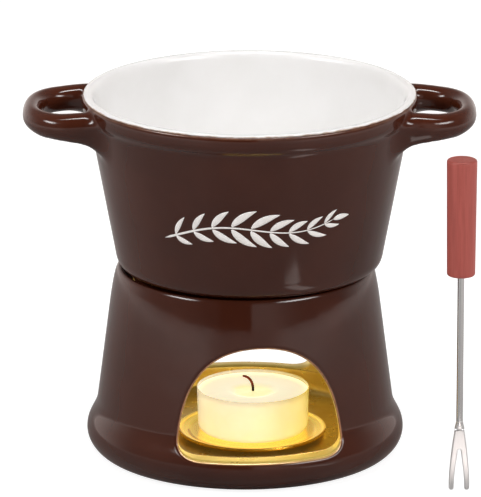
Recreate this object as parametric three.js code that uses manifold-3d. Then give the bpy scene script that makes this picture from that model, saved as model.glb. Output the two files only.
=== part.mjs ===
// A small ceramic fondue set for one or two people: a pot with two loop handles on a tealight stand,
// the tealight on its saucer inside the stand, and a two-pronged dipping fork beside them.
//
// Millimetres, +Z up. The origin is on the pot's axis, on the table. The pot's handles lie along X, and
// the front, where the stand's tealight arch is, faces -Y.

import * as THREE from "three";
import { mergeVertices } from "three/addons/utils/BufferGeometryUtils.js";
import Module from "manifold-3d";

const wasm = await Module();
wasm.setup();

// ---------------------------------------------------------------------------------------------------
// Driving dimensions
// ---------------------------------------------------------------------------------------------------

const ROUND = 48; // flats round the large ceramic pieces
const ROUND_SMALL = 36; // flats round the saucer and the tealight
const ROUND_FORK = 20; // flats round the fork's handle
const CURVE = 3; // points along each curve of a turned profile
const REST_GAP = 0.1; // gap between two pieces that rest on each other

const STAND = {
  x: -1.5, // its axis lies this far from the pot's, within the pot's play in the lip
  top: 64.6, // height of the lip round the pot's foot
  ledge: 60.6, // height of the ledge that the pot stands on
  floor: 5.5, // height of the floor that the saucer stands on
  hollow: 1.5, // depth of the hollow under the foot
  footRing: 43, // inner radius of the ring that stands on the table
  contact: 47.8, // outer radius of that ring
  beadR: 53.9, // radius of the rounded foot bead
  beadZ: 7.4, // height of the bead's widest line
  neckR: 50.2, // radius where the wall leaves the bead
  neckZ: 18.5,
  shoulderR: 44.9, // radius where the wall meets the rounded shoulder
  shoulderZ: 59.6,
  lipR: 41.4, // inner radius of the lip
  ledgeR: 38, // inner radius of the ledge
  wall: 4.2,
  fillet: 3.5, // radius of the inner corner between wall and floor
  taper: 8, // height over which the wall thickens into the ledge
};

const ARCH = {
  turn: THREE.MathUtils.degToRad(6.5), // the stand is turned this far from the pot's handles
  top: 48.2, // height of both arches' crowns
  frontSill: 11,
  rearSill: 14,
  sillHalf: 20, // half width of the straight part of the sill
  half: 27.2, // greatest half width
  haunch: 5.5, // height of the widest line above the sill
  cornerIn: 2.5, // the sill's corners turn up this far inside the greatest half width
  cornerOut: 0.3, // and swell this far beyond it
  cornerRise: 1.6,
  flankIn: 1.6, // the flanks lean in by this much
  flankDrop: 16, // up to this far below the crown
  crownHalf: 19.5, // half width over which the crown is held nearly flat
  cutFrom: 30, // the cut runs between these distances from the axis
  cutTo: 62,
};

const LUSTRE = { thick: 0.5, top: 14 }; // gold lustre on the stand's floor and lower wall

const POT = {
  top: 125, // height of the rim
  rimR: 56.5,
  floor: 67.7, // height of the bowl's floor
  footR: 39.7, // outer radius of the foot, which the stand's lip surrounds
  footRing: 36, // inner radius of the foot
  hollow: 1.1, // depth of the hollow inside the foot
  step: 64.9, // height of the underside that overhangs the stand's lip
  cornerR: 45.5, // radius where the rounded lower corner meets the wall
  cornerZ: 70.5,
  collarR: 54.0, // radius where the wall meets the thicker collar under the rim
  collarZ: 116.0,
  mouthR: 52.4, // inner radius at the rim
  bowlR: 41.6, // inner radius where the wall meets the bowl's rounded corner
  bowlZ: 77,
  bowlCorner: 33, // radius of the flat part of the bowl's floor
  glaze: 0.5, // thickness of the white glaze inside
};

const HANDLE = {
  reach: 76.4, // furthest point from the axis
  rootX: 46, // where the arms start, inside the pot's wall
  bendX: 57, // where the arms end and the half-elliptical bend starts
  armY: 18.8, // distance of the arms' middle lines from the XZ plane
  square: 0.8, // power that makes the bend squarer than a half ellipse, which is 1
  armWide: 8.4, // width of the arms seen from above
  endWide: 6.4, // width of the bend at its outer end
  height: 8.6,
  top: 122.8,
  rootDrop: 4.2, // how much further down the arms reach where they join the pot
  dropFrom: 68, // where along X they start to do so
  dropTo: 51,
  dropPower: 1.5, // power of the curve in between
  tipRise: 1.0, // how much less far down the bend reaches at its outer end
  sag: 0.7, // how much lower the bend lies than the roots
  sagFrom: 54, // where along X the sag starts and ends
  sagTo: 66,
  steps: 16, // steps round the bend
  corners: 12, // corners of the bar's section
};

const SAUCER = {
  x: 0.8, // where it stands, with the tealight on it
  y: -5.2,
  r: 25.3,
  well: 21.4, // radius of its flat middle
  thick: 0.8,
  rise: 2.0,
};

const CANDLE = {
  x: 0.4, // where it stands, from the saucer's middle
  y: 2.2,
  r: 19.1, // outer radius of the cup at its rim
  baseR: 18.7,
  height: 15,
  cup: 0.4, // thickness of the cup
  wax: 13.6, // height of the wax's surface above the cup's underside
  poolR: 7, // melted hollow round the wick
  poolDeep: 0.5,
  wickR: 0.5,
  wickUp: 5.4, // how far the wick stands out of the wax
  wickLean: 3.2, // how far its tip leans to -X
  tabR: 6,
  tabThick: 0.3,
};

const FORK = {
  x: 70.1, // where it stands
  y: -48,
  length: 115,
  handle: 40, // length of the handle
  handleTopR: 5.05,
  handleBottomR: 4.7,
  handleEdge: 0.7, // rounding of the handle's ends
  shaftR: 1.1,
  tang: 26, // length of the shaft inside the handle
  head: 21.2, // length of the head
  headThick: 1.3,
  shoulder: 1.55, // half width of the head at its upper end
  neck: 1.8, // height of the welded neck between shaft and head
  spread: 3.45, // greatest half width across the prongs
  tip: 0.85, // radius of a prong's round tip
  crotch: 14.4, // height of the fork's crotch above the tips
};

const BROWN = 0x452a22;
const WHITE = 0xf4f1ec;
const GOLD = 0xd9a83c;
const CREAM = 0xfff3c4;
const CLEAR = 0xfffbe8;
const WICK = 0x3a1a10;
const STEEL = 0xc9c9c9;
const RED = 0x9c4a42;

// ---------------------------------------------------------------------------------------------------
// Helpers
// ---------------------------------------------------------------------------------------------------

// A mesh with a name and a material.
function piece(name, geometry, color, roughness, metalness = 0) {
  const mesh = new THREE.Mesh(geometry, new THREE.MeshStandardMaterial({ color, roughness, metalness }));
  mesh.name = name;
  return mesh;
}

// A profile in (radius, height), anticlockwise with the radius to the right, turned round the Z axis.
function turned(profile, flats) {
  return new THREE.LatheGeometry(profile.getPoints(CURVE), flats).rotateX(Math.PI / 2);
}

// A shape drawn in (x, z), extruded symmetrically about the XZ plane.
function slab(shape, thick, curveSegments) {
  const geometry = new THREE.ExtrudeGeometry(shape, { depth: thick, bevelEnabled: false, curveSegments });
  return geometry.translate(0, 0, -thick / 2).rotateX(Math.PI / 2);
}

// A closed solid through rings of points. Each ring turns anticlockwise as seen from the last ring.
function loft(rings) {
  const count = rings[0].length;
  const last = (rings.length - 1) * count;
  const index = [];
  for (let base = 0; base < last; base += count) {
    for (let i = 0; i < count; i++) {
      const a = base + i;
      const b = base + ((i + 1) % count);
      index.push(a, b, b + count, a, b + count, a + count);
    }
  }
  for (let i = 1; i + 1 < count; i++) {
    index.push(0, i + 1, i);
    index.push(last, last + i, last + i + 1);
  }
  const geometry = new THREE.BufferGeometry().setFromPoints(rings.flat());
  geometry.setIndex(index);
  geometry.computeVertexNormals();
  return geometry;
}

// A closed geometry as a manifold-3d solid.
function solid(geometry) {
  const bare = geometry.clone();
  bare.deleteAttribute("normal");
  bare.deleteAttribute("uv");
  const merged = mergeVertices(bare, 1e-4);
  return new wasm.Manifold(
    new wasm.Mesh({
      numProp: 3,
      vertProperties: merged.attributes.position.array,
      triVerts: new Uint32Array(merged.index.array),
    }),
  );
}

// A manifold-3d solid as a geometry.
function geometryOf(made) {
  const mesh = made.getMesh();
  const geometry = new THREE.BufferGeometry();
  geometry.setAttribute("position", new THREE.BufferAttribute(mesh.vertProperties, 3));
  geometry.setIndex(new THREE.BufferAttribute(mesh.triVerts, 1));
  geometry.computeVertexNormals();
  return geometry;
}

// ---------------------------------------------------------------------------------------------------
// Stand
// ---------------------------------------------------------------------------------------------------

// Radius of the stand's inner wall at a height.
function standInside(z) {
  const share = (z - STAND.neckZ) / (STAND.shoulderZ - STAND.neckZ);
  return THREE.MathUtils.lerp(STAND.neckR, STAND.shoulderR, share) - STAND.wall;
}

function standProfile() {
  const s = STAND;
  const p = new THREE.Path();
  p.moveTo(0, s.hollow);
  p.lineTo(s.footRing - 0.8, s.hollow);
  p.lineTo(s.footRing, 0);
  p.lineTo(s.contact, 0);
  p.bezierCurveTo(s.contact + 2.6, 0.2, s.beadR, 3.4, s.beadR, s.beadZ);
  p.bezierCurveTo(s.beadR, s.beadZ + 4.6, s.neckR + 0.6, s.neckZ - 5, s.neckR, s.neckZ);
  p.lineTo(s.shoulderR, s.shoulderZ);
  p.quadraticCurveTo(s.shoulderR - 0.6, s.top - 0.1, s.lipR + 1.2, s.top);
  p.quadraticCurveTo(s.lipR + 0.1, s.top, s.lipR, s.top - 0.8);
  p.lineTo(s.lipR, s.ledge);
  p.lineTo(s.ledgeR, s.ledge);
  p.quadraticCurveTo(s.ledgeR - 0.1, s.ledge - 3.4, standInside(s.ledge - s.taper), s.ledge - s.taper);
  const inner = standInside(s.neckZ);
  p.lineTo(inner, s.neckZ);
  p.lineTo(inner, s.floor + s.fillet);
  p.quadraticCurveTo(inner, s.floor, inner - s.fillet, s.floor);
  p.lineTo(0, s.floor);
  return p;
}

// The cutter of an arch: a rounded opening, widest a little above its sill. It lies in front of the
// stand's axis and runs along Y, before it is turned with the stand.
function archCutter(sill) {
  const { top, half, sillHalf, cornerRise, cutFrom, cutTo } = ARCH;
  const wide = sill + ARCH.haunch;
  const inner = half - ARCH.cornerIn;
  const outer = half + ARCH.cornerOut;
  const flank = half - ARCH.flankIn;
  const spring = top - ARCH.flankDrop;
  const crown = ARCH.crownHalf;
  const shape = new THREE.Shape();
  shape.moveTo(-sillHalf, sill);
  shape.lineTo(sillHalf, sill);
  shape.bezierCurveTo(inner, sill, outer, sill + cornerRise, half, wide);
  shape.bezierCurveTo(flank, spring, crown, top, 0, top);
  shape.bezierCurveTo(-crown, top, -flank, spring, -half, wide);
  shape.bezierCurveTo(-outer, sill + cornerRise, -inner, sill, -sillHalf, sill);
  return slab(shape, cutTo - cutFrom, 8).translate(0, -(cutFrom + cutTo) / 2, 0);
}

function frontArch() {
  return solid(archCutter(ARCH.frontSill).rotateZ(ARCH.turn));
}

function rearArch() {
  return solid(archCutter(ARCH.rearSill).rotateZ(ARCH.turn + Math.PI));
}

function standBody() {
  const body = solid(turned(standProfile(), ROUND)).subtract(frontArch()).subtract(rearArch());
  return piece("stand", geometryOf(body), BROWN, 0.15);
}

// The gold lustre is a fired layer over the floor and the lower wall, cut away by the front arch.
function standGoldLustre() {
  const wallR = standInside(STAND.neckZ) - REST_GAP;
  const low = STAND.floor + REST_GAP;
  const t = LUSTRE.thick;
  const cornerR = wallR - STAND.fillet;
  const cornerZ = low + STAND.fillet;
  const p = new THREE.Path();
  p.moveTo(0, low);
  p.lineTo(cornerR, low);
  p.quadraticCurveTo(wallR, low, wallR, cornerZ);
  p.lineTo(wallR, LUSTRE.top);
  p.lineTo(wallR - t, LUSTRE.top);
  p.lineTo(wallR - t, cornerZ + t);
  p.quadraticCurveTo(wallR - t, low + t, cornerR - t, low + t);
  p.lineTo(0, low + t);
  const layer = solid(turned(p, ROUND)).subtract(frontArch());
  return piece("stand_gold_lustre", geometryOf(layer), GOLD, 0.2, 0.9);
}

function stand() {
  const group = new THREE.Group();
  group.add(standBody(), standGoldLustre());
  group.position.x = STAND.x;
  return group;
}

// ---------------------------------------------------------------------------------------------------
// Pot
// ---------------------------------------------------------------------------------------------------

// The outside of the pot as a solid of revolution, with no bowl in it.
function potOutside() {
  const q = POT;
  const foot = STAND.ledge + REST_GAP;
  const p = new THREE.Path();
  p.moveTo(0, foot + q.hollow);
  p.lineTo(q.footRing - 0.5, foot + q.hollow);
  p.lineTo(q.footRing, foot);
  p.lineTo(q.footR - 0.5, foot);
  p.lineTo(q.footR, foot + 0.5);
  p.lineTo(q.footR, q.step);
  p.lineTo(q.footR + 1, q.step);
  p.bezierCurveTo(q.footR + 3.2, q.step + 0.4, q.cornerR - 0.7, q.cornerZ - 3, q.cornerR, q.cornerZ);
  p.lineTo(q.collarR, q.collarZ);
  p.bezierCurveTo(q.collarR + 0.9, q.collarZ + 2.4, q.rimR, q.collarZ + 3, q.rimR, q.top - 2.6);
  p.quadraticCurveTo(q.rimR, q.top - q.glaze - REST_GAP, q.rimR - 0.6, q.top - q.glaze - REST_GAP);
  p.lineTo(0, q.top - q.glaze - REST_GAP);
  return solid(turned(p, ROUND));
}

// Draws the bowl's surface from the floor's centre up to the rim, moved outwards and down by inset.
function drawBowl(p, inset) {
  const q = POT;
  p.lineTo(q.bowlCorner, q.floor - inset);
  p.bezierCurveTo(q.bowlCorner + 6, q.floor - inset, q.bowlR + inset - 1, q.bowlZ - 4, q.bowlR + inset, q.bowlZ);
  p.lineTo(q.mouthR - 0.4 + inset, q.top - 4);
  p.bezierCurveTo(q.mouthR + inset, q.top - 2, q.mouthR + 0.4 + inset, q.top - inset, q.mouthR + 1.9, q.top - inset);
}

// The space that the bowl and the white glaze take out of the brown body.
function bowlCutter() {
  const p = new THREE.Path();
  const above = POT.top + 5;
  p.moveTo(0, POT.floor - POT.glaze - REST_GAP);
  drawBowl(p, POT.glaze + REST_GAP);
  p.lineTo(POT.mouthR + 1.9, above);
  p.lineTo(0, above);
  return solid(turned(p, ROUND));
}

// The white glaze: a fired layer over the bowl and the top of the rim.
function potWhiteGlaze() {
  const p = new THREE.Path();
  const under = POT.top - POT.glaze;
  p.moveTo(0, POT.floor - POT.glaze);
  drawBowl(p, POT.glaze);
  p.lineTo(POT.rimR - 0.5, under);
  p.quadraticCurveTo(POT.rimR - 0.6, POT.top, POT.rimR - 1.1, POT.top);
  const inner = new THREE.Path();
  inner.moveTo(0, POT.floor);
  drawBowl(inner, 0);
  const points = [...p.getPoints(CURVE), ...inner.getPoints(CURVE).reverse()];
  const geometry = new THREE.LatheGeometry(points, ROUND).rotateX(Math.PI / 2);
  return piece("pot_white_glaze", geometry, WHITE, 0.12);
}

// One ring of the handle's bar. The bar's middle is at (x, y), and (outX, outY) points out of the loop.
function handleRing(x, y, outX, outY, wide) {
  const h = HANDLE;
  const ring = [];
  for (let i = 0; i < h.corners; i++) {
    const angle = (-2 * Math.PI * i) / h.corners;
    const out = (wide / 2) * Math.cos(angle);
    const px = x + outX * out;
    const deeper = THREE.MathUtils.clamp((h.dropFrom - px) / (h.dropFrom - h.dropTo), 0, 1) ** h.dropPower;
    const drop = h.rootDrop * deeper - h.tipRise * THREE.MathUtils.smoothstep(px, h.dropFrom, h.reach);
    const sag = h.sag * THREE.MathUtils.smoothstep(px, h.sagFrom, h.sagTo);
    const sine = Math.sin(angle);
    const up = sine * (h.height / 2 + (sine < 0 ? drop : 0));
    ring.push(new THREE.Vector3(px, y + outY * out, h.top - h.height / 2 - sag + up));
  }
  return ring;
}

// The loop handle on the +X side: two arms and a bend between them, which follows half a superellipse. The
// arms' undersides drop towards the pot.
function handle() {
  const h = HANDLE;
  const bend = h.reach - h.endWide / 2 - h.bendX;
  const arm = [h.rootX, (h.rootX + h.bendX) / 2];
  const rings = arm.map((x) => handleRing(x, -h.armY, 0, -1, h.armWide));
  for (let i = 0; i <= h.steps; i++) {
    const angle = Math.PI * (i / h.steps - 0.5);
    const along = Math.max(0, Math.cos(angle)) ** h.square;
    const across = Math.sign(Math.sin(angle)) * Math.abs(Math.sin(angle)) ** h.square;
    const normal = 2 / h.square - 1;
    const outX = along ** normal / bend;
    const outY = (Math.sign(across) * Math.abs(across) ** normal) / h.armY;
    const out = new THREE.Vector2(outX, outY).normalize();
    const wide = THREE.MathUtils.lerp(h.endWide, h.armWide, Math.abs(across));
    rings.push(handleRing(h.bendX + bend * along, h.armY * across, out.x, out.y, wide));
  }
  rings.push(...arm.reverse().map((x) => handleRing(x, h.armY, 0, 1, h.armWide)));
  return loft(rings);
}

function potBody() {
  const right = solid(handle());
  const left = solid(handle().rotateZ(Math.PI));
  const body = potOutside().add(right).add(left).subtract(bowlCutter());
  return piece("pot_body", geometryOf(body), BROWN, 0.2);
}

// ---------------------------------------------------------------------------------------------------
// Saucer and tealight
// ---------------------------------------------------------------------------------------------------

const SAUCER_Z = STAND.floor + LUSTRE.thick + 2 * REST_GAP;
const CANDLE_Z = SAUCER_Z + SAUCER.thick + REST_GAP;

function candleSaucer() {
  const { r, well, thick, rise } = SAUCER;
  const low = SAUCER_Z;
  const lip = low + rise;
  const p = new THREE.Path();
  p.moveTo(0, low);
  p.lineTo(well, low);
  p.quadraticCurveTo(well + 2.2, low + 0.2, r - 0.7, lip - 0.9);
  p.quadraticCurveTo(r, lip - 0.6, r, lip - 0.2);
  p.quadraticCurveTo(r - 0.1, lip + 0.4, r - 0.9, lip + 0.2);
  p.quadraticCurveTo(well + 1.8, low + thick + 0.2, well - 0.2, low + thick);
  p.lineTo(0, low + thick);
  return piece("candle_saucer", turned(p, ROUND_SMALL), GOLD, 0.18, 0.9);
}

// Radius of the outside of the cup at a height above its underside.
function cupR(z) {
  return THREE.MathUtils.lerp(CANDLE.baseR, CANDLE.r, z / CANDLE.height);
}

function candleCup() {
  const c = CANDLE;
  const p = new THREE.Path();
  p.moveTo(0, 0);
  p.lineTo(c.baseR - 0.8, 0);
  p.quadraticCurveTo(c.baseR, 0, cupR(0.8), 0.8);
  p.lineTo(c.r, c.height - 0.2);
  p.quadraticCurveTo(c.r, c.height, c.r - c.cup / 2, c.height);
  p.quadraticCurveTo(c.r - c.cup, c.height, c.r - c.cup, c.height - 0.2);
  p.lineTo(cupR(1.1) - c.cup, 1.1);
  p.quadraticCurveTo(c.baseR - c.cup, c.cup, c.baseR - c.cup - 0.7, c.cup);
  p.lineTo(0, c.cup);
  return piece("candle_cup", turned(p, ROUND_SMALL).translate(0, 0, CANDLE_Z), CLEAR, 0.3);
}

// The wax fills the cup, with a bore for the wick and a recess for the wick's tab.
function candleWax() {
  const c = CANDLE;
  const bore = c.wickR + 0.25;
  const low = c.cup + REST_GAP;
  const tab = low + c.tabThick + REST_GAP;
  const gap = c.cup + REST_GAP;
  const p = new THREE.Path();
  p.moveTo(bore, tab);
  p.lineTo(c.tabR + 0.2, tab);
  p.lineTo(c.tabR + 0.2, low);
  p.lineTo(c.baseR - gap - 0.9, low);
  p.quadraticCurveTo(cupR(1) - gap - 0.05, low, cupR(1.4) - gap, 1.4);
  p.lineTo(cupR(c.wax) - gap, c.wax + 0.2);
  p.quadraticCurveTo(c.r - gap - 0.8, c.wax, c.r - gap - 2.2, c.wax);
  p.lineTo(c.poolR + 1.5, c.wax);
  p.quadraticCurveTo(c.poolR, c.wax - c.poolDeep, c.poolR - 2, c.wax - c.poolDeep);
  p.lineTo(bore, c.wax - c.poolDeep + 0.1);
  p.lineTo(bore, tab);
  return piece("candle_wax", turned(p, ROUND_SMALL).translate(0, 0, CANDLE_Z), CREAM, 0.55);
}

// The steel tab that holds the wick up, on the floor of the cup.
function wickTab() {
  const c = CANDLE;
  const tab = new THREE.CylinderGeometry(c.tabR, c.tabR, c.tabThick, 24).rotateX(Math.PI / 2);
  tab.translate(0, 0, CANDLE_Z + c.cup + REST_GAP + c.tabThick / 2);
  return piece("wick_tab", tab, STEEL, 0.4, 0.9);
}

function candleWick() {
  const c = CANDLE;
  const foot = c.cup + c.tabThick + 2 * REST_GAP;
  const surface = c.wax - c.poolDeep;
  const curve = new THREE.CatmullRomCurve3([
    new THREE.Vector3(0, 0, foot),
    new THREE.Vector3(0, 0, surface / 2),
    new THREE.Vector3(0, 0, surface),
    new THREE.Vector3(-c.wickLean * 0.12, 0, surface + c.wickUp * 0.42),
    new THREE.Vector3(-c.wickLean * 0.48, 0, surface + c.wickUp * 0.83),
    new THREE.Vector3(-c.wickLean, 0, surface + c.wickUp),
  ]);
  const section = new THREE.Shape();
  section.absarc(0, 0, c.wickR, 0, 2 * Math.PI);
  const wick = new THREE.ExtrudeGeometry(section, {
    steps: 16,
    curveSegments: 8,
    extrudePath: curve,
    bevelEnabled: false,
  });
  return piece("candle_wick", wick.translate(0, 0, CANDLE_Z), WICK, 0.9);
}

function tealight() {
  const candle = new THREE.Group();
  candle.add(candleCup(), candleWax(), wickTab(), candleWick());
  candle.position.set(CANDLE.x, CANDLE.y, 0);
  const group = new THREE.Group();
  group.add(candleSaucer(), candle);
  group.position.set(SAUCER.x, SAUCER.y, 0);
  return group;
}

// ---------------------------------------------------------------------------------------------------
// Fork
// ---------------------------------------------------------------------------------------------------

const NECK_TOP = FORK.head + FORK.neck;
const HANDLE_BOTTOM = FORK.length - FORK.handle;

// Heights in the fork's own pieces are above its prong tips, which stand on the table.
function forkHandle() {
  const f = FORK;
  const e = f.handleEdge;
  const bore = f.shaftR + 0.1;
  const p = new THREE.Path();
  p.moveTo(bore, HANDLE_BOTTOM);
  p.lineTo(f.handleBottomR - e / 2, HANDLE_BOTTOM);
  p.quadraticCurveTo(f.handleBottomR, HANDLE_BOTTOM, f.handleBottomR, HANDLE_BOTTOM + e);
  p.lineTo(f.handleTopR, f.length - e);
  p.quadraticCurveTo(f.handleTopR, f.length, f.handleTopR - e, f.length);
  p.lineTo(0, f.length);
  p.lineTo(0, HANDLE_BOTTOM + f.tang + 0.5);
  p.lineTo(bore, HANDLE_BOTTOM + f.tang + 0.5);
  p.lineTo(bore, HANDLE_BOTTOM);
  return piece("fork_handle", turned(p, ROUND_FORK), RED, 0.4);
}

function forkShaft() {
  const length = HANDLE_BOTTOM + FORK.tang - NECK_TOP - REST_GAP;
  const shaft = new THREE.CylinderGeometry(FORK.shaftR, FORK.shaftR, length, 16).rotateX(Math.PI / 2);
  shaft.translate(0, 0, NECK_TOP + REST_GAP + length / 2);
  return piece("fork_shaft", shaft, STEEL, 0.25, 1);
}

// The neck is flattened front to back, from the round shaft to the flat head.
function forkNeck() {
  const height = FORK.neck - REST_GAP;
  const neck = new THREE.CylinderGeometry(FORK.shaftR, FORK.shoulder, height, 16).rotateX(Math.PI / 2);
  neck.scale(1, 0.7, 1).translate(0, 0, FORK.head + REST_GAP + height / 2);
  return piece("fork_neck", neck, STEEL, 0.25, 1);
}

// The head: a flat plate that widens from its neck into two round-tipped prongs.
function forkHead() {
  const { head, shoulder, spread, tip, crotch } = FORK;
  const tipX = spread - tip;
  const inner = tipX - tip;
  const shape = new THREE.Shape();
  shape.moveTo(-shoulder, head);
  shape.bezierCurveTo(-shoulder - 0.7, head - 4, -spread + 0.1, crotch - 6.5, -spread, 3);
  shape.lineTo(-spread, tip);
  shape.absarc(-tipX, tip, tip, Math.PI, 2 * Math.PI);
  shape.bezierCurveTo(-inner, crotch - 8, -0.8, crotch - 4, -0.6, crotch - 1);
  shape.quadraticCurveTo(-0.45, crotch, 0, crotch);
  shape.quadraticCurveTo(0.45, crotch, 0.6, crotch - 1);
  shape.bezierCurveTo(0.8, crotch - 4, inner, crotch - 8, inner, tip);
  shape.absarc(tipX, tip, tip, Math.PI, 2 * Math.PI);
  shape.lineTo(spread, 3);
  shape.bezierCurveTo(spread - 0.1, crotch - 6.5, shoulder + 0.7, head - 4, shoulder, head);
  return piece("fork_head", slab(shape, FORK.headThick, 6), STEEL, 0.25, 1);
}

function fork() {
  const group = new THREE.Group();
  group.add(forkHandle(), forkShaft(), forkNeck(), forkHead());
  group.position.set(FORK.x, FORK.y, 0);
  return group;
}

// ---------------------------------------------------------------------------------------------------
// The set
// ---------------------------------------------------------------------------------------------------

function pot() {
  const group = new THREE.Group();
  group.add(potBody(), potWhiteGlaze());
  return group;
}

const set = new THREE.Group();
set.add(stand(), pot(), tealight(), fork());

export default set;
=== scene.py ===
"""The looks of the tealight fondue set: glazed pot and stand, tealight on its saucer, and fork.

Shapes are worked out in millimetres in the CAD frame, +Z up and the front facing -Y, and their meshes are
written in metres. The pot and the stand are distance fields, so that handles and arches meet the turned
walls in soft fillets, as glazed clay does. The rest is turned, lofted or swept.
"""
import math

import bpy
import numpy as np
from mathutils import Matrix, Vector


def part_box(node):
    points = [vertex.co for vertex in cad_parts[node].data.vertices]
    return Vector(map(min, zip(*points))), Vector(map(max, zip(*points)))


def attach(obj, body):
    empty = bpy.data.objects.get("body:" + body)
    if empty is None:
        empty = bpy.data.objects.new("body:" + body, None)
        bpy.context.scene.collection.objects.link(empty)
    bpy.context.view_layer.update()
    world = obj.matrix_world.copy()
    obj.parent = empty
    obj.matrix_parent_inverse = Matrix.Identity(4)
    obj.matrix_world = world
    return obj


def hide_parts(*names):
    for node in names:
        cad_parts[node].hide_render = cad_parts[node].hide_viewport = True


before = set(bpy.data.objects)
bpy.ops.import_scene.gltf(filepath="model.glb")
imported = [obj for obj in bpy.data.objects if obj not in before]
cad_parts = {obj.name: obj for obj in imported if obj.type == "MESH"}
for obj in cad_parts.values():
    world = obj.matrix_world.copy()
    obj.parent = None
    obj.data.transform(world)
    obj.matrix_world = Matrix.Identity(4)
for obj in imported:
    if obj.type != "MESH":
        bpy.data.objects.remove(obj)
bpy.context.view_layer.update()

MM = 0.001
GRID = 0.85  # millimetres between the pot's points
FINE_GRID = 0.65  # and between the stand's, for its arches' edges
GOLDEN = 2.399963  # radians, the golden angle, which spreads repeated details without a pattern


# ---- Dimensions, in millimetres, which repeat those of part.mjs

def cad_box(node):
    """Lowest and highest corner of a CAD node."""
    low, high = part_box(node)
    return np.array(low) / MM, np.array(high) / MM


STAND_LOW, STAND_HIGH = cad_box("stand")
STAND_X = (STAND_LOW[0] + STAND_HIGH[0]) / 2
STAND_TOP = STAND_HIGH[2]
STAND_BEAD = (STAND_HIGH[0] - STAND_LOW[0]) / 2
STAND_BEAD_Z = 7.4
STAND_FLOOR = 5.5
STAND_HOLLOW = 1.5
STAND_FOOT_RING = 43.0
STAND_CONTACT = 47.8
STAND_NECK = (50.2, 18.5)  # radius and height where the wall leaves the foot's bead
STAND_SHOULDER = (44.9, 59.6)  # radius and height where the wall meets the shoulder
STAND_BEND = (52.0, 56.5)  # heights between which the wall begins to bend in
STAND_LIP = 41.4
STAND_LEDGE = (38.0, 60.6)  # inner radius and height of the ledge under the pot
STAND_WALL = 4.2

ARCH_TURN = math.radians(6.5)
ARCH_TOP = 48.2
FRONT_SILL = 11.0
REAR_SILL = 14.0
ARCH_HALF = 27.2
SILL_HALF = 20.0
ARCH_HAUNCH = 5.5  # height above the sill where the arch is widest
ARCH_CORNER = (2.5, 0.3, 1.6)  # inward, outward and upward pull of the lower corners' curves
ARCH_FLANK = (1.6, 16.0)  # inward and downward pull of the flanks' curves
ARCH_CROWN = 19.5  # half width over which the crown stays flat
ARCH_START = 25.0  # the cuts begin at this distance from the stand's axis
ARCH_FILLET = 1.7  # softness of the arches' edges

POT_LOW, POT_HIGH = cad_box("pot_body")
_, GLAZE_HIGH = cad_box("pot_white_glaze")
POT_TOP = GLAZE_HIGH[2]
POT_FOOT_Z = POT_LOW[2]
POT_RIM = 56.5
POT_FOOT = 39.7
POT_FOOT_RING = 36.0
POT_STEP = 64.9
POT_CORNER = (45.5, 70.5)
POT_COLLAR = (54.0, 116.0)
BOWL_FLOOR = 67.7
BOWL_FLAT = 33.0
BOWL_CORNER = (41.6, 77.0)
BOWL_MOUTH = 52.4
GLAZE_THICK = 0.5

HANDLE_REACH = POT_HIGH[0]
HANDLE_ROOT = 46.0
HANDLE_BEND = 57.0
HANDLE_ARM_Y = 18.8
HANDLE_ARM_HALF = 4.2
HANDLE_END_HALF = 3.2
HANDLE_HALF_HEIGHT = 4.3
HANDLE_TOP = 122.8
HANDLE_DROP = 4.2  # how much deeper the arms are at their roots
HANDLE_SLIM = (68.0, 51.0)  # between these distances the arms grow deeper
HANDLE_DEEPENING = (4.0, 1.5)  # powers of that growth on the loop's inner and outer side
HANDLE_TAPER = 1.0  # how much shallower the bend is at its tip
HANDLE_SAG = 0.7  # how much lower the bend lies than the roots
HANDLE_SAG_FROM = (54.0, 66.0)  # and between which distances it sinks
HANDLE_SQUARE = 0.8  # power that makes the bend squarer than a half ellipse
HANDLE_FILLET = 5.5
HANDLE_TOP_FILLET = 2.0

SAUCER_LOW, SAUCER_HIGH = cad_box("candle_saucer")
SAUCER_RADIUS = (SAUCER_HIGH[0] - SAUCER_LOW[0]) / 2
SAUCER_FLANGE = SAUCER_RADIUS - 2.7  # where the flange round its middle begins
CUP_LOW, CUP_HIGH = cad_box("candle_cup")
CANDLE_X = (CUP_LOW[0] + CUP_HIGH[0]) / 2
CANDLE_Y = (CUP_LOW[1] + CUP_HIGH[1]) / 2

FORK_LOW, FORK_HIGH = cad_box("fork_handle")
FORK_X = (FORK_LOW[0] + FORK_HIGH[0]) / 2
FORK_Y = (FORK_LOW[1] + FORK_HIGH[1]) / 2
FORK_NECK_Z = 21.2
FORK_SHAFT = 1.1


# ---- Outlines

class Outline:
    """A line drawn in a plane by straight stretches and Bezier curves, with points close together."""

    def __init__(self, x, y, spacing=0.7):
        self.points = [(x, y)]
        self.spacing = spacing

    def line(self, x, y, parts=1):
        """A straight stretch to a point."""
        ax, ay = self.points[-1]
        for share in np.linspace(0, 1, parts + 1)[1:]:
            self.points.append((ax + (x - ax) * share, ay + (y - ay) * share))
        return self

    def curve(self, *controls):
        """A Bezier curve of any degree to the last of the points given."""
        hull = np.array([self.points[-1], *controls], float)
        length = np.linalg.norm(np.diff(hull, axis=0), axis=1).sum()
        steps = max(5, math.ceil(length / self.spacing))
        degree = len(controls)
        for t in np.linspace(0, 1, steps + 1)[1:]:
            weights = [math.comb(degree, i) * t**i * (1 - t) ** (degree - i) for i in range(degree + 1)]
            self.points.append(tuple(np.array(weights) @ hull))
        return self

    def array(self):
        """The points as rows of an array."""
        return np.array(self.points)


def stand_inside(z):
    """Radius of the stand's inner wall at a height."""
    share = (z - STAND_NECK[1]) / (STAND_SHOULDER[1] - STAND_NECK[1])
    return STAND_NECK[0] + share * (STAND_SHOULDER[0] - STAND_NECK[0]) - STAND_WALL


def stand_outside(z):
    """Radius of the stand's outer wall at a height, above the foot's bead."""
    return stand_inside(np.maximum(z, STAND_NECK[1] - 6)) + STAND_WALL


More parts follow.
